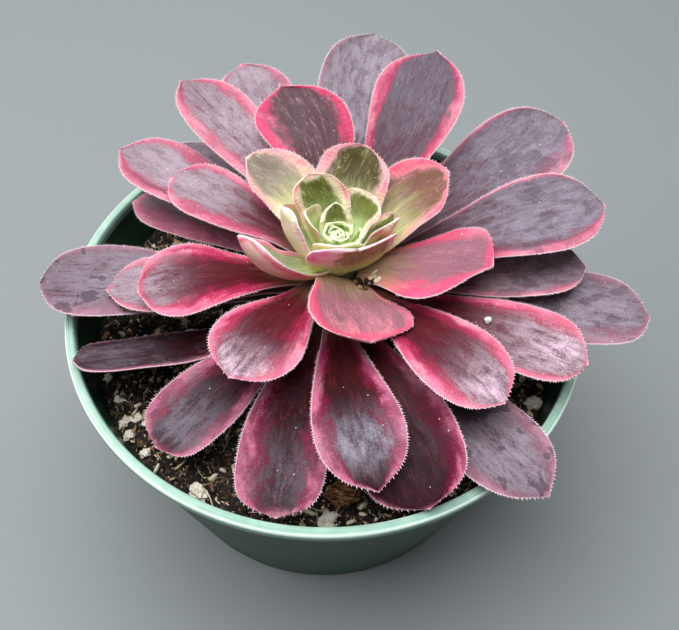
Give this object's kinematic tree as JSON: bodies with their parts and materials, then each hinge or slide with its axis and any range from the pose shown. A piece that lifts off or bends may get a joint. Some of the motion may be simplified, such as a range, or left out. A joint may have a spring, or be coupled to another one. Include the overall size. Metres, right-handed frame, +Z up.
{
  "type": "potted aeonium",
  "caption": "Round green plastic nursery pot filled with potting mix, planted with a low open rosette of fleshy paddle-shaped pink-edged leaves around a pale tight heart.",
  "frame": {"origin": "middle of the flat underside of the pot", "axes": "+Z up along the pot's axis, +Y towards the leaves that are farthest from the viewer in the picture, +X to the picture's right"},
  "size_m": [0.1841, 0.1641, 0.1295],
  "materials": {
    "pot": "satin",
    "soil": "matte",
    "perlite": "matte",
    "bark": "matte",
    "stem": "matte",
    "heart": "satin",
    "leaf": "satin"
  },
  "bodies": {
    "root": {"pot": "pot", "soil": "soil", "perlite_1": "perlite", "perlite_2": "perlite", "perlite_3": "perlite", "perlite_4": "perlite", "perlite_5": "perlite", "perlite_6": "perlite", "perlite_7": "perlite", "perlite_8": "perlite", "perlite_9": "perlite", "perlite_10": "perlite", "bark_1": "bark", "stem": "stem", "heart": "heart", "leaf_00": "leaf", "leaf_01": "leaf", "leaf_02": "leaf", "leaf_03": "leaf", "leaf_04": "leaf", "leaf_05": "leaf", "leaf_06": "leaf", "leaf_07": "leaf", "leaf_08": "leaf", "leaf_09": "leaf", "leaf_10": "leaf", "leaf_11": "leaf", "leaf_12": "leaf", "leaf_13": "leaf", "leaf_14": "leaf", "leaf_15": "leaf", "leaf_16": "leaf", "leaf_17": "leaf", "leaf_18": "leaf", "leaf_19": "leaf", "leaf_20": "leaf", "leaf_21": "leaf", "leaf_22": "leaf", "leaf_23": "leaf", "leaf_24": "leaf", "leaf_25": "leaf", "leaf_26": "leaf", "leaf_27": "leaf", "leaf_28": "leaf", "leaf_29": "leaf"}
  },
  "joints": []
}
